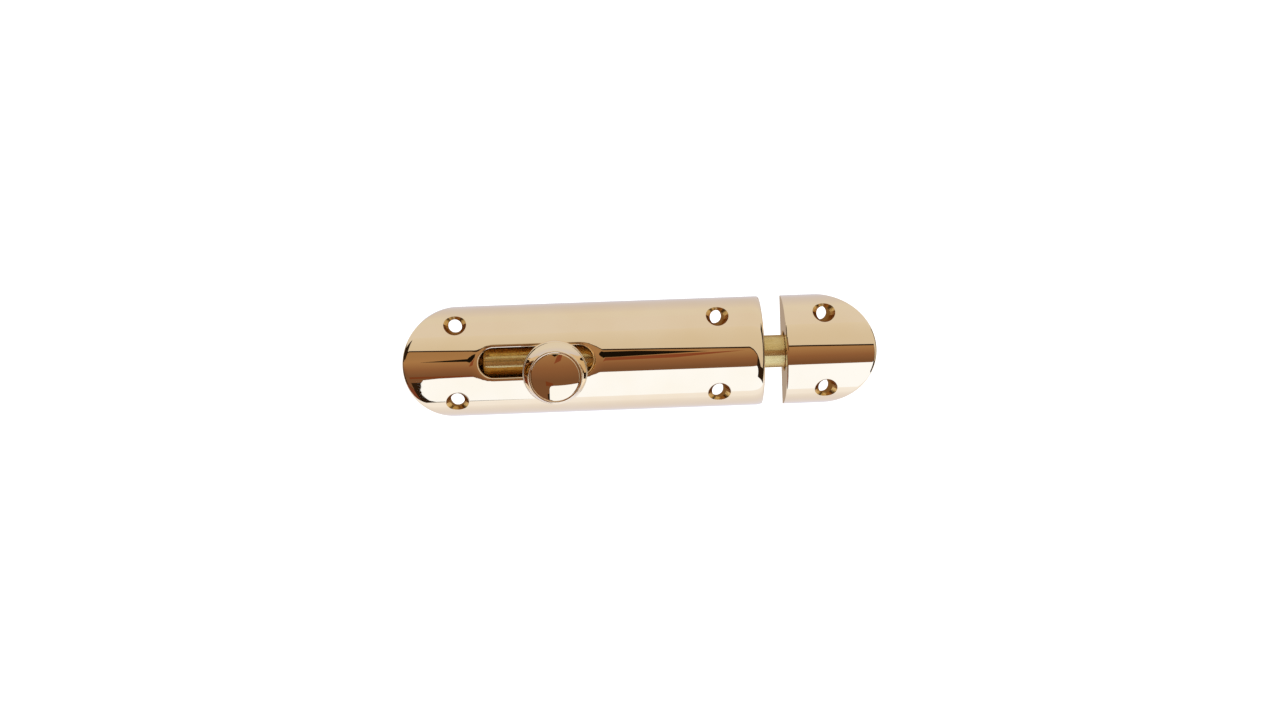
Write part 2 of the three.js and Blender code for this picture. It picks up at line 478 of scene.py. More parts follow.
def grow_ring(
    bm: bmesh.types.BMesh,
    ring: list[bmesh.types.BMVert],
    places: Sequence[Vector],
    closed: bool,
    region: Region,
) -> list[bmesh.types.BMVert]:
    """Extrude a chain of vertices to new places.

    Args:
        bm: The mesh.
        ring: Vertices of the chain, in order.
        places: New place of each.
        closed: True if the last vertex joins the first.
        region: What the new faces belong to.

    Returns:
        The new chain, in the same order.
    """
    pairs = list(zip(ring, ring[1:] + ring[:1] if closed else ring[1:]))
    edges = [bm.edges.get(pair) for pair in pairs]
    made = bmesh.ops.extrude_edge_only(bm, edges=edges)["geom"]
    fresh = {g for g in made if isinstance(g, bmesh.types.BMVert)}
    for face in (g for g in made if isinstance(g, bmesh.types.BMFace)):
        face.material_index = region
    grown = []
    for old, place in zip(ring, places):
        new = next(e.other_vert(old) for e in old.link_edges if e.other_vert(old) in fresh)
        new.co = place
        grown.append(new)
    return grown


def chain_of(bm: bmesh.types.BMesh, places: Sequence[Vector], closed: bool) -> list[bmesh.types.BMVert]:
    """Lay a chain of vertices and edges.

    Args:
        bm: The mesh.
        places: Where the vertices go.
        closed: True if the last vertex joins the first.

    Returns:
        The vertices, in order.
    """
    ring = [bm.verts.new(place) for place in places]
    for pair in zip(ring, ring[1:] + ring[:1] if closed else ring[1:]):
        bm.edges.new(pair)
    return ring


def mesh_from(bm: bmesh.types.BMesh, name: str) -> bpy.types.Mesh:
    """Close a bmesh into a new mesh with smooth faces, and free it.

    Args:
        bm: The bmesh.
        name: Name of the new mesh.

    Returns:
        The new mesh.
    """
    for face in bm.faces:
        face.smooth = True
    mesh = bpy.data.meshes.new(name)
    bm.to_mesh(mesh)
    bm.free()
    return mesh


def new_object(name: str, data: bpy.types.ID) -> bpy.types.Object:
    """Put a mesh, camera or light in the scene as an object at the origin.

    Args:
        name: Name of the object.
        data: What it shows.

    Returns:
        The new object.
    """
    made = bpy.data.objects.new(name, data)
    bpy.context.scene.collection.objects.link(made)
    return made


def turned(profile: Sequence[Point], steps: int, region: Region = Region.SKIN) -> bmesh.types.BMesh:
    """Spin a profile round Z into a closed solid.

    Args:
        profile: Radius and height of each point, both ends on the axis.
        steps: Number of sides.
        region: What the faces belong to.

    Returns:
        The solid as a bmesh.
    """
    bm = bmesh.new()
    ring = chain_of(bm, [Vector((radius, 0.0, height)) for radius, height in profile], closed=False)
    bmesh.ops.spin(
        bm,
        geom=ring + list(bm.edges),
        cent=(0, 0, 0),
        axis=(0, 0, 1),
        angle=2 * math.pi,
        steps=steps,
        use_merge=True,
        use_duplicate=False,
    )
    bmesh.ops.remove_doubles(bm, verts=bm.verts, dist=MERGE_MM)
    bmesh.ops.recalc_face_normals(bm, faces=bm.faces)
    for face in bm.faces:
        face.material_index = region
    return bm


def arc(centre: Point, radius: Point | float, start: float, end: float, steps: int) -> list[Point]:
    """Points on an arc of a circle or ellipse in a profile.

    Args:
        centre: Its centre, as radius and height.
        radius: Its radius, or its two half-axes.
        start: First angle, in degrees.
        end: Last angle, in degrees.
        steps: Number of steps.

    Returns:
        The points, both ends included.
    """
    across, up = radius if isinstance(radius, tuple) else (radius, radius)
    angles = [math.radians(start + (end - start) * i / steps) for i in range(steps + 1)]
    return [(centre[0] + across * math.cos(a), centre[1] + up * math.sin(a)) for a in angles]


def smooth_profile(points: Sequence[Point], spacing: float) -> list[Point]:
    """Add points along the long stretches of a profile, so that no ring is much wider than its neighbour.

    Args:
        points: The profile.
        spacing: Longest step allowed, in millimetres.

    Returns:
        The profile with the added points.
    """
    made = [points[0]]
    for (r0, h0), (r1, h1) in zip(points, points[1:]):
        steps = max(1, math.ceil(math.hypot(r1 - r0, h1 - h0) / spacing))
        made += [(r0 + (r1 - r0) * i / steps, h0 + (h1 - h0) * i / steps) for i in range(1, steps + 1)]
    return made


def cut(mesh: bpy.types.Mesh, cutters: Sequence[bmesh.types.BMesh]) -> bpy.types.Mesh:
    """Subtract solids from a mesh.

    Args:
        mesh: The mesh to cut. It is removed.
        cutters: Closed solids. They are freed.

    Returns:
        The cut mesh.
    """
    body = new_object("cutting_body", mesh)
    tools = []
    for number, cutter in enumerate(cutters):
        tools.append(new_object(f"cutting_tool_{number}", mesh_from(cutter, f"cutting_tool_{number}")))
        modifier = body.modifiers.new(f"cut_{number}", "BOOLEAN")
        modifier.operation = "DIFFERENCE"
        modifier.solver = "EXACT"
        modifier.object = tools[-1]
    bpy.context.view_layer.update()
    evaluated = body.evaluated_get(bpy.context.evaluated_depsgraph_get())
    result = bpy.data.meshes.new_from_object(evaluated)
    for spent in [body, *tools]:
        spent_mesh = spent.data
        bpy.data.objects.remove(spent)
        bpy.data.meshes.remove(spent_mesh)
    bm = bmesh.new()
    bm.from_mesh(result)
    bmesh.ops.remove_doubles(bm, verts=bm.verts, dist=MERGE_MM)
    bmesh.ops.dissolve_degenerate(bm, edges=bm.edges, dist=MERGE_MM)
    for face in bm.faces:
        face.smooth = True
    bm.to_mesh(result)
    bm.free()
    return result


def set_normals(
    mesh: bpy.types.Mesh, exact: Callable[[Region, Vector, Vector], Vector | None], sharp_degrees: float
) -> None:
    """Give a mesh the true normals of the surfaces it stands for.

    A face whose region has an exact normal gets it at each corner, and the faces that run smoothly into
    it share it. All other corners keep the smooth normals that they come with.

    Args:
        mesh: The mesh, with regions as material indices.
        exact: Gives the true normal from region, place and face normal, or None where there is none.
        sharp_degrees: Edges sharper than this stay sharp.
    """
    mesh.set_sharp_from_angle(angle=math.radians(sharp_degrees))
    normals = [corner.vector.copy() for corner in mesh.corner_normals]
    known: dict[int, list[Vector]] = {}
    for face in mesh.polygons:
        for loop in face.loop_indices:
            vertex = mesh.loops[loop].vertex_index
            normal = exact(Region(face.material_index), mesh.vertices[vertex].co, face.normal)
            if normal is not None:
                normals[loop] = normal
                known.setdefault(vertex, []).append(normal)
    blend_limit = math.cos(math.radians(sharp_degrees))
    for face in mesh.polygons:
        if Region(face.material_index) is not Region.EDGE:
            continue
        for loop in face.loop_indices:
            near = known.get(mesh.loops[loop].vertex_index, [])
            best = max(near, key=lambda normal: normal.dot(face.normal), default=None)
            if best is not None and best.dot(face.normal) > blend_limit:
                normals[loop] = best
    mesh.normals_split_custom_set(normals)


# ---------------------------------------------------------------- case and keep


@dataclass(frozen=True)
class Softening:
    """How far polishing has worn an edge away, as the two half-axes of an ellipse.

    The length is measured along the half-round surface, and the depth down from it.
    """

    length: float
    depth: float

    def step(self, turn: float) -> Point:
        """Distance in from the edge and depth at one angle, 0 on the surface and 90 on the wall."""
        angle = math.radians(turn)
        return self.length * (1 - math.sin(angle)), -self.depth * (1 - math.cos(angle))


@dataclass(frozen=True)
class Slot:
    """Slot with round ends along the crest of the bar."""

    start_x: float
    end_x: float
    width: float
    side: Softening = Softening(1.3, 0.45)
    end_length: float = 3.3  # how far the polished hollow reaches past the slot's ends
    arc_steps: int = 32
    side_steps: int = 14

    def outline(self) -> list[Point]:
        """Centre place and outward angle of each point round the slot.

        Returns:
            For each point, X of the middle that it lies off, and the angle that it lies at.
        """
        half = self.width / 2
        right, left = self.end_x - half, self.start_x + half
        turn = [math.pi * i / self.arc_steps for i in range(self.arc_steps + 1)]
        travel = [i / self.side_steps for i in range(1, self.side_steps)]
        points = [(right, a - math.pi / 2) for a in turn]
        points += [(right + (left - right) * t, math.pi / 2) for t in travel]
        points += [(left, a + math.pi / 2) for a in turn]
        points += [(left + (right - left) * t, 3 * math.pi / 2) for t in travel]
        return points

    def ring(self, turn: float) -> list[Place]:
        """Lay out one ring of the softened edge.

        Args:
            turn: Angle of the ring on the edge, 0 on the surface and 90 on the wall.

        Returns:
            Place in plan and depth of each point.
        """
        made = []
        for centre_x, angle in self.outline():
            endward = math.cos(angle) ** 2
            length = self.side.length + (self.end_length - self.side.length) * endward
            inwards, depth = Softening(length, self.side.depth).step(turn)
            out = self.width / 2 + inwards
            made.append((centre_x + out * math.cos(angle), out * math.sin(angle), depth))
        return made


@dataclass(frozen=True)
class ScrewHole:
    """Upright screw hole with a countersink that is square to the half-round surface."""

    x: float
    side: int
    centre_y: float = 10.3
    radius: float = 2.0
    mouth_y: float = 10.9
    mouth_radius: float = 3.2
    mouth_stretch: float = 1.12  # the mouth is a little longer round the bar than along it
    sink_depth: float = 1.2
    rim: Softening = Softening(0.22, 0.1)
    steps: int = 64

    def ring(self, bar_radius: float, turn: float) -> list[Place]:
        """Lay out one ring of the mouth's softened edge.

        Args:
            bar_radius: Radius of the half-round bar.
            turn: Angle of the ring on the edge, 0 on the surface and 90 on the wall.

        Returns:
            Place on the laid-out surface and depth of each point.
        """
        inwards, depth = self.rim.step(turn)
        middle = self.side * bar_radius * math.asin(self.mouth_y / bar_radius)
        radius = self.mouth_radius + inwards
        angles = [2 * math.pi * i / self.steps for i in range(self.steps)]
        long = radius * self.mouth_stretch
        return [(self.x + radius * math.cos(a), middle + long * math.sin(a), depth) for a in angles]

    def mouth(self, bar_radius: float) -> tuple[Vector, Vector, Vector]:
        """Find the mouth on the bar.

        Args:
            bar_radius: Radius of the half-round bar.

        Returns:
            Its middle, the way out of the surface there, and the way round the bar towards +Y.
        """
        y = self.side * self.mouth_y
        z = math.sqrt(bar_radius**2 - y**2)
        out = Vector((0, y, z)) / bar_radius
        return Vector((self.x, y, z)), out, Vector((0, out.z, -out.y))

    def foot_of_sink(self, bar_radius: float, point: Vector) -> Vector:
        """Find where a point of the mouth's rim comes down to the straight hole.

        Args:
            bar_radius: Radius of the half-round bar.
            point: A place on the rim.

        Returns:
            The place at the foot of the countersink.
        """
        middle, out, round_bar = self.mouth(bar_radius)
        angle = math.atan2((point - middle).dot(round_bar), point.x - middle.x)
        x = self.x + self.radius * math.cos(angle)
        y = self.side * self.centre_y + self.radius * math.sin(angle)
        floor = middle - self.sink_depth * out
        return Vector((x, y, floor.z - (y - floor.y) * out.y / out.z))


@dataclass
class HalfRoundPiece:
    """Piece of half-round bar, square at one end and half round in plan at the other.

    The surface is laid out flat with its edges, slot and holes, sliced lengthwise, and then wrapped
    round the bar, so that every vertex lies on the true surface.
    """

    name: str
    body: str
    square_x: float
    tip_x: float
    bar_radius: float
    bore_height: float
    bore_radius: float
    bore_end_x: float
    holes: list[ScrewHole]
    slot: Slot | None = None
    square_edge: Softening = Softening(1.8, 0.6)
    square_corner: Softening = Softening(1.0, 0.35)  # the same edge down by the back
    tip_edge: Softening = Softening(0.8, 0.4)
    mouth_chamfer: float = 0.3
    tip_slack: float = 0.02  # how far a vertex may lie off the round end's outline and still be on it
    mouth_slack: float = 0.3  # the same for a screw hole's mouth
    drill_point: float = 0.6
    tip_steps: int = 72
    square_steps: int = 48
    edge_steps: int = 12
    slices: int = 144
    bore_sides: int = 96

    @property
    def way(self) -> int:
        """+1 if the round end points along +X."""
        return 1 if self.tip_x > self.square_x else -1

    @property
    def tip_centre_x(self) -> float:
        """Middle of the round end's half circle."""
        return self.tip_x - self.way * self.bar_radius

    def turns(self) -> list[float]:
        """Angles of the rings of a softened edge, after the first."""
        return [90 * i / self.edge_steps for i in range(1, self.edge_steps + 1)]

    def unroll(self, x: float, y: float, depth: float) -> Vector:
        """Place on the laid-out surface of a point in plan."""
        share = max(-1.0, min(1.0, y / self.bar_radius))
        return Vector((x, self.bar_radius * math.asin(share), depth))

    def wrap(self, flat: Vector) -> Vector:
        """Wrap a place of the laid-out surface round the bar.

        The square end is softened inwards all round, so there the spread shrinks with the height.

        Args:
            flat: X, distance round the bar and depth.

        Returns:
            The place on the bar.
        """
        angle = flat.y / self.bar_radius
        height = self.bar_radius + flat.z
        at_square_end = abs(flat.x - self.square_x) < self.square_edge.length + MERGE_MM
        spread = height if at_square_end else self.bar_radius
        up = height * math.cos(angle)
        return Vector((flat.x, spread * math.sin(angle), up if up > 10 * MERGE_MM else 0.0))

    def tip_ring(self, turn: float) -> list[Vector]:
        """Lay out one ring of the softened edge round the tip, which fades out towards the flat back.

        Args:
            turn: Angle of the ring on the edge, 0 on the surface and 90 on the wall.

        Returns:
            Places on the laid-out surface.
        """
        made = []
        for i in range(self.tip_steps + 1):
            angle = math.pi * (i / self.tip_steps - 0.5)
            fade = math.sqrt(math.cos(angle)) if 0 < i < self.tip_steps else 0.0
            inwards, depth = self.tip_edge.step(turn)
            radius = self.bar_radius - inwards * fade
            x = self.tip_centre_x + self.way * radius * math.cos(angle)
            made.append(self.unroll(x, radius * math.sin(angle), depth * fade))
        return made

    def square_ring(self, turn: float) -> list[Vector]:
        """Lay out one ring of the softened edge at the square end, which is less worn down by the back.

        Args:
            turn: Angle of the ring on the edge, 0 on the surface and 90 on the wall.

        Returns:
            Places on the laid-out surface.
        """
        quarter = self.bar_radius * math.pi / 2
        crest, corner = self.square_edge, self.square_corner
        made = []
        for i in range(self.square_steps + 1):
            share = 1 - 2 * i / self.square_steps
            low = share**4
            length = crest.length + (corner.length - crest.length) * low
            depth = crest.depth + (corner.depth - crest.depth) * low
            inwards, drop = Softening(length, depth).step(turn)
            made.append(Vector((self.square_x + self.way * inwards, share * quarter, drop)))
        return made

    def lay_out(self) -> bmesh.types.BMesh:
        """Lay the surface out flat, with its softened edges, and slice it lengthwise.

        Returns:
            The flat surface.
        """
        bm = bmesh.new()
        tip, square = (chain_of(bm, ring(0), closed=False) for ring in (self.tip_ring, self.square_ring))
        for pair in ((tip[-1], square[0]), (square[-1], tip[0])):
            bm.edges.new(pair)
        openings: list[Callable[[float], list[Vector]]] = []
        if self.slot:
            openings.append(lambda turn: [self.unroll(*p) for p in self.slot.ring(turn)])
        for hole in self.holes:
            openings.append(lambda turn, hole=hole: [Vector(p) for p in hole.ring(self.bar_radius, turn)])
        rings = [chain_of(bm, ring(0), closed=True) for ring in openings]
        filled = bmesh.ops.triangle_fill(bm, edges=list(bm.edges), use_beauty=True, normal=(0, 0, 1))
        for face in (g for g in filled["geom"] if isinstance(g, bmesh.types.BMFace)):
            face.material_index = Region.SKIN
        for turn in self.turns():
            tip = grow_ring(bm, tip, self.tip_ring(turn), False, Region.EDGE)
            square = grow_ring(bm, square, self.square_ring(turn), False, Region.EDGE)
            rings = [
                grow_ring(bm, ring, places(turn), True, Region.EDGE)
                for ring, places in zip(rings, openings)
            ]
        reach = self.bar_radius * math.pi / 2
        for i in range(1, self.slices):
            bmesh.ops.bisect_plane(
                bm,
                geom=list(bm.verts) + list(bm.edges) + list(bm.faces),
                plane_co=(0, reach * (2 * i / self.slices - 1), 0),
                plane_no=(0, 1, 0),
                dist=MERGE_MM / 2,
            )
        return bm

    def boundary(self, bm: bmesh.types.BMesh, test: Callable[[Vector], bool]) -> list[bmesh.types.BMEdge]:
        """Open edges whose two ends both pass a test."""
        return [e for e in bm.edges if e.is_boundary and all(test(v.co) for v in e.verts)]

    def on_tip(self, co: Vector) -> bool:
        """Tell whether a place is on the outline of the round end, seen in plan.

        Args:
            co: The place.

        Returns:
            True if it is.
        """
        plan = math.hypot(co.x - self.tip_centre_x, co.y)
        beyond = (co.x - self.tip_centre_x) * self.way > -MERGE_MM
        return beyond and abs(plan - self.bar_radius) < self.tip_slack

    def close(self, bm: bmesh.types.BMesh) -> None:
        """Bring the wrapped surface's open edges down to the back, and close the solid.

        Args:
            bm: The wrapped surface.
        """
        tip = self.boundary(bm, self.on_tip)
        for vertex in {v for e in tip for v in e.verts}:
            stretch = self.bar_radius / math.hypot(vertex.co.x - self.tip_centre_x, vertex.co.y)
            vertex.co.x = self.tip_centre_x + (vertex.co.x - self.tip_centre_x) * stretch
            vertex.co.y *= stretch
        extrude_edges(bm, tip, lambda co: Vector((co.x, co.y, 0)), Region.WALL)
        if self.slot:
            half = self.slot.width / 2 + MERGE_MM
            low, high = self.slot.start_x - MERGE_MM, self.slot.end_x + MERGE_MM
            rim = self.boundary(bm, lambda co: low < co.x < high and abs(co.y) < half)
            foot = extrude_edges(bm, rim, lambda co: Vector((co.x, co.y, self.bore_height)), Region.SLOT)
            bmesh.ops.edgeloop_fill(bm, edges=foot, mat_nr=Region.SLOT)
        for hole in self.holes:
            middle = hole.mouth(self.bar_radius)[0]
            reach = hole.mouth_radius * hole.mouth_stretch + self.mouth_slack
            rim = self.boundary(bm, lambda co: (co - middle).length < reach)
            foot = extrude_edges(bm, rim, lambda co: hole.foot_of_sink(self.bar_radius, co), Region.HOLE)
            extrude_edges(bm, foot, lambda co: Vector((co.x, co.y, 0)), Region.HOLE)
        bmesh.ops.remove_doubles(bm, verts=bm.verts, dist=MERGE_MM)
        end = self.boundary(bm, lambda co: abs(co.x - self.square_x) < MERGE_MM)
        corners = [v for v in {v for e in end for v in e.verts} if v.co.z < MERGE_MM]
        end.append(bm.edges.new(corners))
        bmesh.ops.edgeloop_fill(bm, edges=end, mat_nr=Region.FACE)
        base = [e for e in bm.edges if e.is_boundary]
        filled = bmesh.ops.triangle_fill(bm, edges=base, use_beauty=True, normal=(0, 0, -1))
        for face in (g for g in filled["geom"] if isinstance(g, bmesh.types.BMFace)):
            face.material_index = Region.BACK
        bmesh.ops.recalc_face_normals(bm, faces=bm.faces)

    def bore_cutter(self) -> bmesh.types.BMesh:
        """Make the solid that cuts the blind bore, with a drill point and a small chamfer at its mouth.

        Returns:
            The cutter.
        """
        depth = abs(self.square_x - self.bore_end_x)
        outside = 1.0
        profile = [
            (0, -outside),
            (self.bore_radius + self.mouth_chamfer + outside, -outside),
            (self.bore_radius, self.mouth_chamfer),
            (self.bore_radius, depth - self.drill_point),
            (0, depth),
        ]
        bm = turned(profile, self.bore_sides, Region.BORE)
        turn = Matrix.Rotation(self.way * math.pi / 2, 4, "Y")
        place = Matrix.Translation((self.square_x, 0, self.bore_height))
        bmesh.ops.transform(bm, matrix=place @ turn, verts=bm.verts)
        return bm

    def exact_normal(self, region: Region, place: Vector, face_normal: Vector) -> Vector | None:
        """True normal of the half-round, flat and upright surfaces.

        Args:
            region: What the face belongs to.
            place: The corner's place.
            face_normal: Normal of the face.

        Returns:
            The normal, or None on softened edges and in holes.
        """
        if region is Region.SKIN:
            return Vector((0, place.y, place.z)).normalized()
        if region in (Region.FACE, Region.BACK):
            return face_normal.copy()
        if region is Region.WALL:
            return Vector((place.x - self.tip_centre_x, place.y, 0)).normalized()
        return None

    def build(self, finishes: Finishes) -> bpy.types.Object:
        """Make the finished piece.

        Args:
            finishes: The shared materials.

        Returns:
            The object, riding on its body.
        """
        bm = self.lay_out()
        for vertex in bm.verts:
            vertex.co = self.wrap(vertex.co)
        bmesh.ops.remove_doubles(bm, verts=bm.verts, dist=MERGE_MM)
        self.close(bm)
        mesh = cut(mesh_from(bm, self.name), [self.bore_cutter()])
        set_normals(mesh, self.exact_normal, SHARP_DEGREES)
        polished = (Region.SKIN, Region.EDGE, Region.FACE, Region.WALL)
        slots = {region: 0 if region in polished else 1 for region in Region} | {Region.BACK: 2}
        dress(mesh, [finishes.mirror, finishes.drilled, finishes.linished], slots)
        return place_piece(self.name, mesh, self.body, "polished_brass", self.name)


def dress(mesh: bpy.types.Mesh, materials: Sequence[bpy.types.Material], slots: dict[Region, int]) -> None:
    """Swap the regions of a mesh for its real materials, and turn it to metres.

    Args:
        mesh: The mesh, in millimetres, with regions as material indices.
        materials: Its materials.
        slots: Number in that list for each region.
    """
    chosen = [slots.get(Region(face.material_index), 0) for face in mesh.polygons]
    mesh.materials.clear()
    for material in materials:
        mesh.materials.append(material)
    mesh.polygons.foreach_set("material_index", chosen)
    mesh.transform(Matrix.Scale(MM, 4))
    mesh.update()


def place_piece(name: str, mesh: bpy.types.Mesh, body: str, slot: str, *nodes: str) -> bpy.types.Object:
    """Put a finished mesh in the frame.

    Args:
        name: Name of the piece.
        mesh: Its mesh, in metres, in place.
        body: Body that it rides on.
        slot: The record's material slot. Not used.
        *nodes: CAD nodes that it stands for.

    Returns:
        The new object.
    """
    piece = new_object(f"{name}_fine", mesh)
    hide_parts(*nodes)
    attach(piece, body)
    LOG.info("%s: %d faces, rides on %s", name, len(mesh.polygons), body)
    return piece


# ---------------------------------------------------------------- rod, knob and stud


@dataclass
class Shoot:
    """The rod with its knob, and the stud that joins them.

    Heights are measured from the rod's axis along the stud, which leans by its play in the slot.
    """

    axis_height: float
    rod_radius: float
    tail_x: float
    nose_x: float
    knob_x: float
    lean_degrees: float = 9.4
    nose_edge: float = 0.9
    tail_edge: float = 0.6
    nose_crown: float = 0.25
    stud_radius: float = 2.5
    stud_foot: float = -1.2
    stud_top: float = 18.0
    thread_pitch: float = 0.8
    thread_depth: float = 0.42
    thread_gap: float = 0.1
    tapping_gap: float = 0.3  # how far each tapped hole runs on past the stud's end
    cross_hole_x: float = 30.0
    cross_hole_radius: float = 1.85
    knob_foot: float = 9.2
    knob_top: float = 23.2
    knob_radius: float = 9.0
    face_radius: float = 6.75
    face_crown: float = 0.7
    face_rings: int = 40
    neck_radius: float = 4.0
    neck_height: float = 1.5
    flare_height: float = 5.1
    corner: float = 0.35  # rounding at the neck's foot and under the rim
    rim_corner: float = 0.5  # rounding over the rim
    rim_height: float = 1.15
    bead_radius: float = 0.36
    bead_offset: float = 0.32  # middle of the bead, out from the face
    bead_lap: float = 0.12  # how far the bead laps over the face
    side_hollow: float = 0.22
    side_rings: int = 20
    knob_spacing: float = 0.4
    knob_sides: int = 192
    rod_spacing: float = 12.0
    rod_sides: int = 160
    hole_sides: int = 48

    @property
    def leaning(self) -> Matrix:
        """Place and turn of the rod's own axes in the frame."""
        turn = Matrix.Rotation(math.radians(self.lean_degrees), 4, "X")
        return Matrix.Translation((0, 0, self.axis_height)) @ turn

    def hole(self, x: float, radius: float, low: float, high: float) -> bmesh.types.BMesh:
        """Make a round cutter across the rod, in the rod's own axes.

        Args:
            x: Where it crosses the rod.
            radius: Its radius.
            low: Its foot.
            high: Its top.

        Returns:
            The cutter.
        """
        bm = turned([(0, low), (radius, low), (radius, high), (0, high)], self.hole_sides, Region.HOLE)
        bmesh.ops.translate(bm, vec=(x, 0, 0), verts=bm.verts)
        return bm

    def rod_normal(self, region: Region, place: Vector, face_normal: Vector) -> Vector | None:
        """True normal of the rod's round side.

        Args:
            region: What the face belongs to.
            place: The corner's place, about the rod's own axis.
            face_normal: Normal of the face.

        Returns:
            The normal, or None on the rod's ends and in its holes.
        """
        across = Vector((0, place.y, place.z))
        on_side = abs(face_normal.x) < 0.01 and abs(across.length - self.rod_radius) < 0.01
        return across.normalized() if region is Region.SKIN and on_side else None

    def build_rod(self, finishes: Finishes) -> bpy.types.Object:
        """Make the drawn rod, its nose crowned and its edges rounded, tapped and cross-drilled.

        Args:
            finishes: The shared materials.

        Returns:
            The object, riding on the shoot.
        """
        r, tail = self.rod_radius, self.tail_x
        crown_foot = self.nose_x - self.nose_crown
        profile = [(0, tail), (r - self.tail_edge, tail)]
        profile += arc((r - self.tail_edge, tail + self.tail_edge), self.tail_edge, -90, 0, 8)[1:]
        profile += arc((r - self.nose_edge, crown_foot - self.nose_edge), self.nose_edge, 0, 86, 12)
        flat, rings = r - self.nose_edge, 10
        for i in range(1, rings + 1):
            share = 1 - i / rings
            profile.append((flat * share, crown_foot + self.nose_crown * (1 - share**2)))
        bm = turned(smooth_profile(profile, self.rod_spacing), self.rod_sides)
        bmesh.ops.rotate(bm, matrix=Matrix.Rotation(math.pi / 2, 3, "Y"), verts=bm.verts)
        tapped = self.stud_radius + self.thread_gap
        cutters = [
            self.hole(self.knob_x, tapped, self.stud_foot - self.tapping_gap, r + 1),
            self.hole(self.cross_hole_x, self.cross_hole_radius, -r - 1, r + 1),
        ]
        mesh = cut(mesh_from(bm, "bolt_rod"), cutters)
        set_normals(mesh, self.rod_normal, SHARP_DEGREES)
        mesh.transform(self.leaning)
        dress(mesh, [finishes.satin, finishes.drilled], {Region.SKIN: 0, Region.HOLE: 1})
        return place_piece("bolt_rod", mesh, "shoot", "satin_brass", "bolt_rod")

    def knob_profile(self) -> list[Point]:
        """Draw half a section of the knob, from inside its tapped hole round to the middle of its face.

        Returns:
            Radius and height of each point.
        """
        foot, top, rim, neck = self.knob_foot, self.knob_top, self.knob_radius, self.neck_radius
        tapped, corner = self.stud_radius + self.thread_gap, self.corner
        flare_low = foot + self.neck_height
        flare_high = flare_low + self.flare_height
        tapping_end = self.stud_top + self.tapping_gap
        profile = [(0, tapping_end), (tapped, tapping_end), (tapped, foot)]
        profile += arc((neck - corner, foot + corner), corner, -90, 0, 6)
        profile += [(neck, flare_low)]
        flare = arc((rim - corner, flare_low), (rim - corner - neck, flare_high - flare_low), 180, 90, 28)
        profile += flare[1:]
        profile += arc((rim - corner, flare_high + corner), corner, -90, 0, 8)[1:]
        profile += arc((rim - self.rim_corner, flare_high + self.rim_height), self.rim_corner, 0, 68, 8)
        bead_height = top - self.face_crown - self.bead_radius
        bead = (self.face_radius + self.bead_offset, bead_height)
        side_low, side_high = profile[-1], (bead[0] + self.bead_radius, bead_height)
        for i in range(1, self.side_rings):
            t = i / self.side_rings
            hollow = self.side_hollow * math.sin(math.pi * t)
            r = side_low[0] + (side_high[0] - side_low[0]) * t - hollow
            profile.append((r, side_low[1] + (side_high[1] - side_low[1]) * t))
        profile += arc(bead, self.bead_radius, 0, 150, 18)
        face_edge = self.face_radius - self.bead_lap
        for i in range(self.face_rings + 1):
            share = 1 - i / self.face_rings
            profile.append((face_edge * share, top - self.face_crown * share**2))
        return profile

    def build_knob(self, finishes: Finishes) -> bpy.types.Object:
        """Make the turned knob: neck, flare, rim, tapered side and a crowned face inside a bead.

        Args:
            finishes: The shared materials.

        Returns:
            The object, riding on the shoot.
        """
        bm = turned(smooth_profile(self.knob_profile(), self.knob_spacing), self.knob_sides)
        bmesh.ops.translate(bm, vec=(self.knob_x, 0, 0), verts=bm.verts)
        mesh = mesh_from(bm, "knob")
        set_normals(mesh, lambda *_: None, TURNED_SHARP_DEGREES)
        mesh.transform(self.leaning)
        dress(mesh, [finishes.mirror], {})
        return place_piece("knob", mesh, "shoot", "polished_brass", "knob")

    def build_stud(self, finishes: Finishes) -> bpy.types.Object:
        """Make the threaded stud.

        Args:
            finishes: The shared materials.

        Returns:
            The object, riding on the shoot.
        """
        bm = threaded_bar(
            self.stud_radius, self.stud_foot, self.stud_top, self.thread_pitch, self.thread_depth
        )
        bmesh.ops.translate(bm, vec=(self.knob_x, 0, 0), verts=bm.verts)
        mesh = mesh_from(bm, "knob_stud")
        set_normals(mesh, lambda *_: None, SMALL_SHARP_DEGREES)
        mesh.transform(self.leaning)
        dress(mesh, [finishes.plated], {})
        return place_piece("knob_stud", mesh, "shoot", "bright_steel", "knob_stud")


def threaded_bar(radius: float, low: float, high: float, pitch: float, depth: float) -> bmesh.types.BMesh:
    """Round bar about Z with a V thread and chamfered ends.

    Args:
        radius: Outer radius.
        low: Foot of the bar.
        high: Top of the bar.
        pitch: Rise of one turn.
        depth: Depth of the thread.

    Returns:
        The solid as a bmesh.
    """
    rings_per_turn, sides = 10, 48
    rings = math.ceil((high - low) / pitch * rings_per_turn)
    heights = [low + (high - low) * i / rings for i in range(rings + 1)]
    bm = turned([(0, low), *((radius, h) for h in heights), (0, high)], sides)
    for vertex in bm.verts:
        reach = math.hypot(vertex.co.x, vertex.co.y)
        if reach < radius / 2:
            continue
        turn = math.atan2(vertex.co.y, vertex.co.x) / (2 * math.pi)
        phase = ((vertex.co.z - low) / pitch - turn) % 1.0
        groove = depth * (1 - abs(2 * phase - 1))
        end_gap = min(vertex.co.z - low, high - vertex.co.z)
        chamfer = max(0.0, depth - end_gap)
        factor = (radius - max(groove, chamfer)) / reach
        vertex.co.x *= factor
        vertex.co.y *= factor
    bmesh.ops.recalc_face_normals(bm, faces=bm.faces)
    return bm


# ---------------------------------------------------------------- drag ball, spring and screw


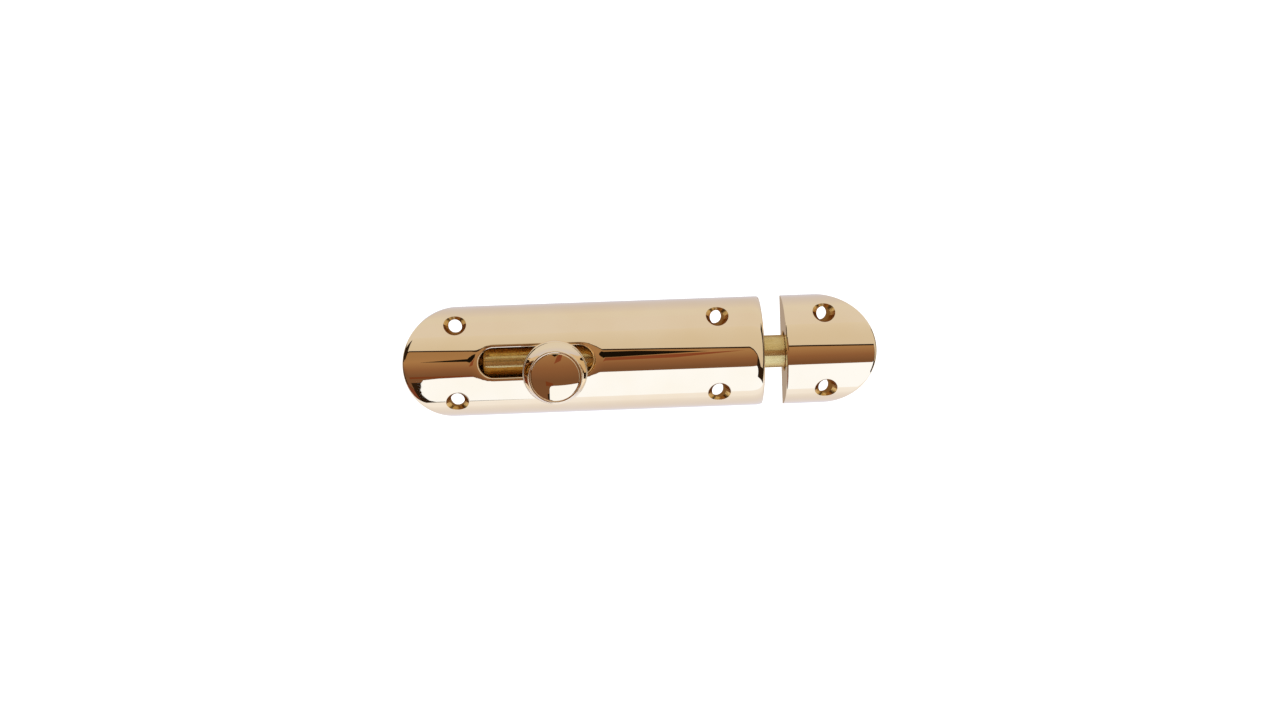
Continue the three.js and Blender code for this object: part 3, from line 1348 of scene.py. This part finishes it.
@dataclass
class DragUnit:
    """Ball, spring and headless screw in the rod's cross-hole, which make the rod rub on its bore."""

    shoot: Shoot
    bore_radius: float
    ball_radius: float = 1.55
    ball_gap: float = 0.05
    wire_radius: float = 0.2
    coil_radius: float = 1.2
    turns: int = 5
    screw_radius: float = 1.55
    screw_foot: float = 1.6
    screw_top: float = 4.2
    socket_radius: float = 0.85
    socket_depth: float = 1.3
    screw_pitch: float = 0.5
    screw_thread_depth: float = 0.25
    end_gap: float = 0.1  # between the spring and what it presses on

    @property
    def ball_height(self) -> float:
        """Height of the ball's middle, so that it just clears the bore."""
        return self.ball_radius + self.ball_gap - self.bore_radius

    def finish_piece(
        self, name: str, bm: bmesh.types.BMesh, material: bpy.types.Material, slot: str
    ) -> None:
        """Put one piece of the unit in its place in the rod.

        Args:
            name: Name of the piece and of the CAD node that it stands for.
            bm: Its shape, about the middle of the rod.
            material: Its material.
            slot: The record's material slot.
        """
        bmesh.ops.translate(bm, vec=(self.shoot.cross_hole_x, 0, 0), verts=bm.verts)
        mesh = mesh_from(bm, name)
        set_normals(mesh, lambda *_: None, SMALL_SHARP_DEGREES)
        mesh.transform(self.shoot.leaning)
        dress(mesh, [material], {})
        place_piece(name, mesh, "shoot", slot, name)

    def build_ball(self, finishes: Finishes) -> None:
        """Make the steel ball."""
        bm = turned(arc((0, self.ball_height), self.ball_radius, -90, 90, 32), 48)
        self.finish_piece("drag_ball", bm, finishes.ball, "bright_steel")

    def build_spring(self, finishes: Finishes) -> None:
        """Make the coil spring between the ball and the screw.

        Args:
            finishes: The shared materials.
        """
        low = self.ball_height + self.ball_radius + self.end_gap + self.wire_radius
        high = self.screw_foot - self.end_gap - self.wire_radius
        bm = bmesh.new()
        bmesh.ops.create_circle(bm, segments=16, radius=self.wire_radius)
        bmesh.ops.rotate(bm, matrix=Matrix.Rotation(math.pi / 2, 3, "X"), verts=bm.verts)
        bmesh.ops.translate(bm, vec=(self.coil_radius, 0, low), verts=bm.verts)
        steps_per_turn = 40
        steps = self.turns * steps_per_turn
        bmesh.ops.spin(
            bm,
            geom=list(bm.verts) + list(bm.edges),
            cent=(0, 0, 0),
            axis=(0, 0, 1),
            dvec=(0, 0, (high - low) / steps),
            angle=2 * math.pi * self.turns,
            steps=steps,
            use_merge=False,
            use_duplicate=False,
        )
        bmesh.ops.holes_fill(bm, edges=[e for e in bm.edges if e.is_boundary])
        bmesh.ops.recalc_face_normals(bm, faces=bm.faces)
        self.finish_piece("drag_spring", bm, finishes.wire, "spring_steel")

    def build_screw(self, finishes: Finishes) -> None:
        """Make the headless screw with a hexagon socket.

        Args:
            finishes: The shared materials.
        """
        bm = threaded_bar(
            self.screw_radius, self.screw_foot, self.screw_top, self.screw_pitch, self.screw_thread_depth
        )
        floor, above, r = self.screw_top - self.socket_depth, self.screw_top + 1, self.socket_radius
        hexagon = turned([(0, floor), (r, floor), (r, above), (0, above)], 6)
        mesh = cut(mesh_from(bm, "drag_screw"), [hexagon])
        bm = bmesh.new()
        bm.from_mesh(mesh)
        bpy.data.meshes.remove(mesh)
        self.finish_piece("drag_screw", bm, finishes.plated, "bright_steel")


# ---------------------------------------------------------------- studio


@dataclass(frozen=True)
class Card:
    """Glowing card that only shows as a reflection in the polished brass.

    A card is one colour, or a run of colours along Y, each at its own distance.
    """

    name: str
    outline: Sequence[Place]
    strength: float
    colour: str = "#FFFFFF"
    run: Sequence[tuple[float, str]] = ()

    def glow_colour(self, tree: bpy.types.NodeTree) -> bpy.types.NodeSocket:
        """Make the run of colours along Y.

        Args:
            tree: The card's node tree.

        Returns:
            The socket that gives the colour.
        """
        low, high = self.run[0][0], self.run[-1][0]
        coords = add_node(tree, "ShaderNodeTexCoord").outputs["Object"]
        split = add_node(tree, "ShaderNodeSeparateXYZ", {"Vector": coords})
        limits = {"From Min": low * MM, "From Max": high * MM}
        share = add_node(tree, "ShaderNodeMapRange", {"Value": split.outputs["Y"], **limits})
        ramp = add_node(tree, "ShaderNodeValToRGB", {"Fac": share.outputs["Result"]})
        set_ramp(ramp, [((y - low) / (high - low), linear(colour)) for y, colour in self.run])
        return ramp.outputs["Color"]

    def build(self) -> None:
        """Make the card."""
        bm = bmesh.new()
        bm.faces.new([bm.verts.new(Vector(p) * MM) for p in self.outline])
        card = new_object(self.name, mesh_from(bm, self.name))
        material, tree, output = new_material(self.name)
        colour = self.glow_colour(tree) if self.run else linear(self.colour)
        glow = add_node(tree, "ShaderNodeEmission", {"Color": colour, "Strength": self.strength})
        tree.links.new(glow.outputs["Emission"], output.inputs["Surface"])
        card.data.materials.append(material)
        card.visible_camera = False
        card.visible_diffuse = False
        card.visible_shadow = False
        card.visible_transmission = False


def level(height: float, *corners: Point) -> list[Place]:
    """Corners of a level card."""
    return [(x, y, height) for x, y in corners]


def strip(height: float, low_x: float, high_x: float, half_width: float) -> list[Place]:
    """Corners of a level strip that lies along the bolt.

    Args:
        height: Its height.
        low_x: One end.
        high_x: Other end.
        half_width: How far it reaches either side of the bolt's centre line.

    Returns:
        The corners.
    """
    return level(
        height, (low_x, -half_width), (high_x, -half_width), (high_x, half_width), (low_x, half_width)
    )


def upright(y: float, *corners: Point) -> list[Place]:
    """Corners of a card that stands across the studio, as X and height."""
    return [(x, y, z) for x, z in corners]


def sideways(x: float, half_width: float, height: float) -> list[Place]:
    """Corners of a card that stands along the studio."""
    corners = ((-half_width, 0), (half_width, 0), (half_width, height), (-half_width, height))
    return [(x, y, z) for y, z in corners]


@dataclass
class Studio:
    """Pale floor, soft light, reflector cards and the camera, in millimetres but for the light."""

    ceiling: float = 600.0
    wall: float = 900.0
    dark_ceiling: float = 700.0
    warm_edge: tuple[Point, ...] = (
        (-220, 345),
        (-76, 319),
        (20, 200),
        (102, 127),
        (135, 112),
        (200, 60),
        (300, -60),
        (420, -260),
        (520, -420),
        (900, -600),
    )
    edge_width: float = 32.0  # dark band along the warm ceiling's edge
    camera_place: Place = (-20.43, 40.32, 688.54)
    camera_right: Place = (0.9979, -0.0336, 0.0554)
    camera_back: Place = (-0.0533, 0.0606, 0.9967)
    lens: float = 67.82
    sensor: float = 36.0
    floor_drop: float = 0.1  # keeps the table's face clear of the bolt's back
    floor_glow: float = 1.3
    light_place: Place = (0.0, -0.3, 1.1)  # metres
    light_size: Point = (1.4, 1.0)
    light_power: float = 6.0

    def build_camera(self) -> None:
        """Camera almost straight above, a little towards +Y and -X."""
        data = bpy.data.cameras.new("camera")
        data.lens, data.sensor_width = self.lens, self.sensor
        data.clip_start, data.clip_end = 0.01, 20.0
        camera = new_object("camera", data)
        back = Vector(self.camera_back).normalized()
        right = (Vector(self.camera_right) - back * back.dot(Vector(self.camera_right))).normalized()
        axes = Matrix((right, back.cross(right), back)).transposed().to_4x4()
        camera.matrix_world = Matrix.Translation(Vector(self.camera_place) * MM) @ axes
        bpy.context.scene.camera = camera

    def build_floor(self) -> None:
        """Pale table, lit from within so that it stays white under the bolt."""
        bm = bmesh.new()
        bmesh.ops.create_grid(bm, x_segments=1, y_segments=1, size=4.0)
        bmesh.ops.translate(bm, vec=(0, 0, -self.floor_drop * MM), verts=bm.verts)
        floor = new_object("floor", mesh_from(bm, "floor"))
        material, tree, output = new_material("table_opal_acrylic")
        white = linear("#FFFFFF")
        glow = add_node(tree, "ShaderNodeEmission", {"Color": white, "Strength": self.floor_glow})
        tree.links.new(glow.outputs["Emission"], output.inputs["Surface"])
        floor.data.materials.append(material)
        floor.visible_glossy = False
        floor.visible_diffuse = False

    def ceiling_cards(self) -> list[Card]:
        """Lay out the cards above: dark in the middle, where the camera is, between two lit sides.

        Returns:
            The cards.
        """
        top, dark, wall = self.ceiling, self.dark_ceiling, self.wall
        edge = list(self.warm_edge)
        shade = [(x, y - self.edge_width) for x, y in reversed(edge)]
        return [
            Card(
                "card_dark_above",
                level(
                    dark,
                    *((340, -420), (-60, -420), (-80, -560), (-115, -560), (-125, -1000), (-600, -1000)),
                    *((-1400, -160), (-1400, 160), (-400, 200), (-150, 420), (300, 420), (340, 100)),
                ),
                1.0,
                run=[(-330, "#7C5A44"), (-150, "#926A4E"), (60, "#AE8A66"), (200, "#A98764")],
            ),
            Card(
                "card_camera",
                level(
                    dark - 3,
                    *((-72, 42), (-35, 105), (10, 155), (50, 145), (72, 105)),
                    *((92, 70), (40, 8), (0, -12), (-35, 12)),
                ),
                1.0,
                "#1A140E",
            ),
            Card(
                "card_hands",
                level(dark - 4, (-10, -95), (30, -8), (112, 58), (72, -60)),
                1.0,
                "#8A4E36",
            ),
            Card(
                "card_sleeve",
                level(top + 6, (-110, -352), (-30, -352), (-25, -318), (-110, -285)),
                1.0,
                "#7A4328",
            ),
            Card("card_warm_edge", level(top + 1, *edge, *shade), 1.0, "#30221A"),
            Card(
                "card_warm_above",
                level(top, *edge, (wall, wall), (-220, wall)),
                1.0,
                run=[(-300, "#DDD8D5"), (300, "#DFDCD8"), (900, "#E6E6E8")],
            ),
            Card(
                "card_bright_above",
                level(
                    top,
                    *((-86.4, -wall), (-79.4, -686), (-75, -518), (-71, -400), (-62, -366), (-45, -352)),
                    *((-20, -348), (300, -348), (350, -430), (400, -600), (450, -wall)),
                ),
                1.9,
                "#C8DAFF",
            ),
        ]

    def wall_cards(self) -> list[Card]:
        """Lay out the cards round the sides.

        Returns:
            The cards.
        """
        top, wall = self.ceiling, self.wall
        foot = 28  # the dark gap between the softbox's foot and the table
        return [
            Card(
                "card_warm_wall",
                upright(wall, (-wall, 0), (wall, 0), (wall, top), (-wall, top)),
                1.0,
                "#E6E7EE",
            ),
            Card(
                "card_bright_wall",
                upright(
                    -wall,
                    *((-70, foot), (-74.4, 100), (-76.3, 180), (-79.7, 310), (-82.4, 413), (-83.7, 498)),
                    *((-86.4, top), (450, top), (640, 300)),
                    *((800, 0), (0, 0)),
                ),
                1.9,
                "#C8DAFF",
            ),
            Card(
                "card_brown_wall",
                upright(-wall, (-wall, 60), (-160, 60), (-160, top), (-wall, top)),
                1.0,
                "#7C4636",
            ),
            Card("card_low_end", sideways(-wall, wall, 60), 1.0, "#E6E2DC"),
            Card("card_low_front", sideways(wall, wall, 200), 1.0, "#E6E2DC"),
        ]

    def floor_cards(self) -> list[Card]:
        """Lay out what the brass sees of the table, with its light and shade painted in: paler away from
        the bolt, brighter and bluer on the -Y side where the bright cards are, and in painted shade under
        it.

        Returns:
            The cards.
        """
        wall = self.wall
        return [
            Card(
                "card_table",
                strip(0.1, -wall, wall, wall),
                1.5,
                # Painted light and shade of the table: darker near the bolt, brighter and bluer towards
                # -Y.
                run=[
                    (-157, "#D6E1FC"),
                    (-51, "#D4DEF7"),
                    (-32, "#CBD2E7"),
                    (-20, "#C3C7DA"),
                    (18, "#B5B6C4"),
                    (28, "#BCBDC6"),
                    (41, "#C0C2C7"),
                ],
            ),
            # Painted shade on the table under the case and the keep, coloured gold as painted light thrown
            # back from the brass.
            Card("card_case_shade", strip(0.2, -40, 50, 14), 1.0, "#8A6A40"),
            Card("card_keep_shade", strip(0.2, 58, 71, 14), 1.0, "#8A6A40"),
            # Painted shade on the table in the gap between case and keep: dimmer and warmer than the open
            # table.
            Card("card_gap_shade", strip(0.3, 51, 57, 16), 0.8, "#C5B4A4"),
        ]

    def build_light(self) -> None:
        """One wide soft light above. The polished brass shows the cards and not the light."""
        data = bpy.data.lights.new("soft_light", "AREA")
        data.shape = "RECTANGLE"
        data.size, data.size_y = self.light_size
        data.energy = self.light_power
        light = new_object("soft_light", data)
        light.location = self.light_place
        light.rotation_euler = Vector(self.light_place).to_track_quat("Z", "Y").to_euler()
        light.visible_glossy = False
        light.visible_camera = False

    def build_world(self) -> None:
        """Dark room for the brass to reflect, and white behind the table."""
        world = bpy.data.worlds.new("room")
        bpy.context.scene.world = world
        world.use_nodes = True
        tree = world.node_tree
        tree.nodes.clear()
        output = add_node(tree, "ShaderNodeOutputWorld")
        seen = add_node(tree, "ShaderNodeLightPath").outputs["Is Camera Ray"]
        dark = add_node(tree, "ShaderNodeBackground", {"Color": linear("#3C2C20"), "Strength": 0.6})
        white = add_node(tree, "ShaderNodeBackground", {"Color": linear("#FFFFFF"), "Strength": 1.0})
        both = add_node(
            tree,
            "ShaderNodeMixShader",
            {0: seen, 1: dark.outputs["Background"], 2: white.outputs["Background"]},
        )
        tree.links.new(both.outputs["Shader"], output.inputs["Surface"])

    def build(self) -> None:
        """Make the whole studio."""
        bpy.context.scene.view_settings.view_transform = "Standard"
        self.build_camera()
        self.build_floor()
        self.build_light()
        self.build_world()
        for card in (*self.ceiling_cards(), *self.wall_cards(), *self.floor_cards()):
            card.build()
            LOG.info("%s: strength %.2f", card.name, card.strength)


# ---------------------------------------------------------------- the bolt


def build_case(finishes: Finishes, bore_height: float) -> None:
    """Make the case: square end on the keep's side, round end on the other, slotted on top.

    Args:
        finishes: The shared materials.
        bore_height: Height of the rod's axis above the back.
    """
    low, high = box_mm("case")
    case = HalfRoundPiece(
        name="case",
        body="case",
        square_x=high.x,
        tip_x=low.x,
        bar_radius=high.z,
        bore_height=bore_height,
        bore_radius=CASE_BORE_RADIUS,
        bore_end_x=-47.6,
        holes=[ScrewHole(x, side) for x in (-35.9, 38.0) for side in (1, -1)],
        slot=Slot(start_x=-29.6, end_x=2.6, width=8.5),
        square_edge=Softening(4.4, 1.1),
        tip_edge=Softening(1.6, 0.7),
    )
    case.build(finishes)


def build_keep(finishes: Finishes, bore_height: float) -> None:
    """Make the keep: square face towards the case, with a wider bore that the rod's nose enters.

    Args:
        finishes: The shared materials.
        bore_height: Height of the rod's axis above the back.
    """
    low, high = box_mm("keep")
    keep = HalfRoundPiece(
        name="keep",
        body="keep",
        square_x=low.x,
        tip_x=high.x,
        bar_radius=high.z,
        bore_height=bore_height,
        bore_radius=5.5,
        bore_end_x=low.x + 20.5,
        holes=[ScrewHole(68.3, side) for side in (1, -1)],
        square_edge=Softening(0.6, 0.2),
        square_corner=Softening(0.5, 0.15),
        tip_edge=Softening(0.8, 0.4),
    )
    keep.build(finishes)


def main() -> None:
    """Build every piece round the frame, and the studio."""
    logging.basicConfig(level=logging.INFO, format="%(name)s %(message)s")
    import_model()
    rod_low, rod_high = box_mm("bolt_rod")
    stud_low, stud_high = box_mm("knob_stud")  # it leans along Y, so its middle is still the stud's X
    axis_height = (rod_low.z + rod_high.z) / 2
    finishes = Finishes()

    build_case(finishes, axis_height)
    build_keep(finishes, axis_height)
    shoot = Shoot(
        axis_height=axis_height,
        rod_radius=(rod_high.z - rod_low.z) / 2,
        tail_x=rod_low.x,
        nose_x=rod_high.x,
        knob_x=(stud_low.x + stud_high.x) / 2,
    )
    shoot.build_rod(finishes)
    shoot.build_knob(finishes)
    shoot.build_stud(finishes)
    drag = DragUnit(shoot, bore_radius=CASE_BORE_RADIUS)
    drag.build_ball(finishes)
    drag.build_spring(finishes)
    drag.build_screw(finishes)
    Studio().build()


if __name__ == "__main__":
    main()
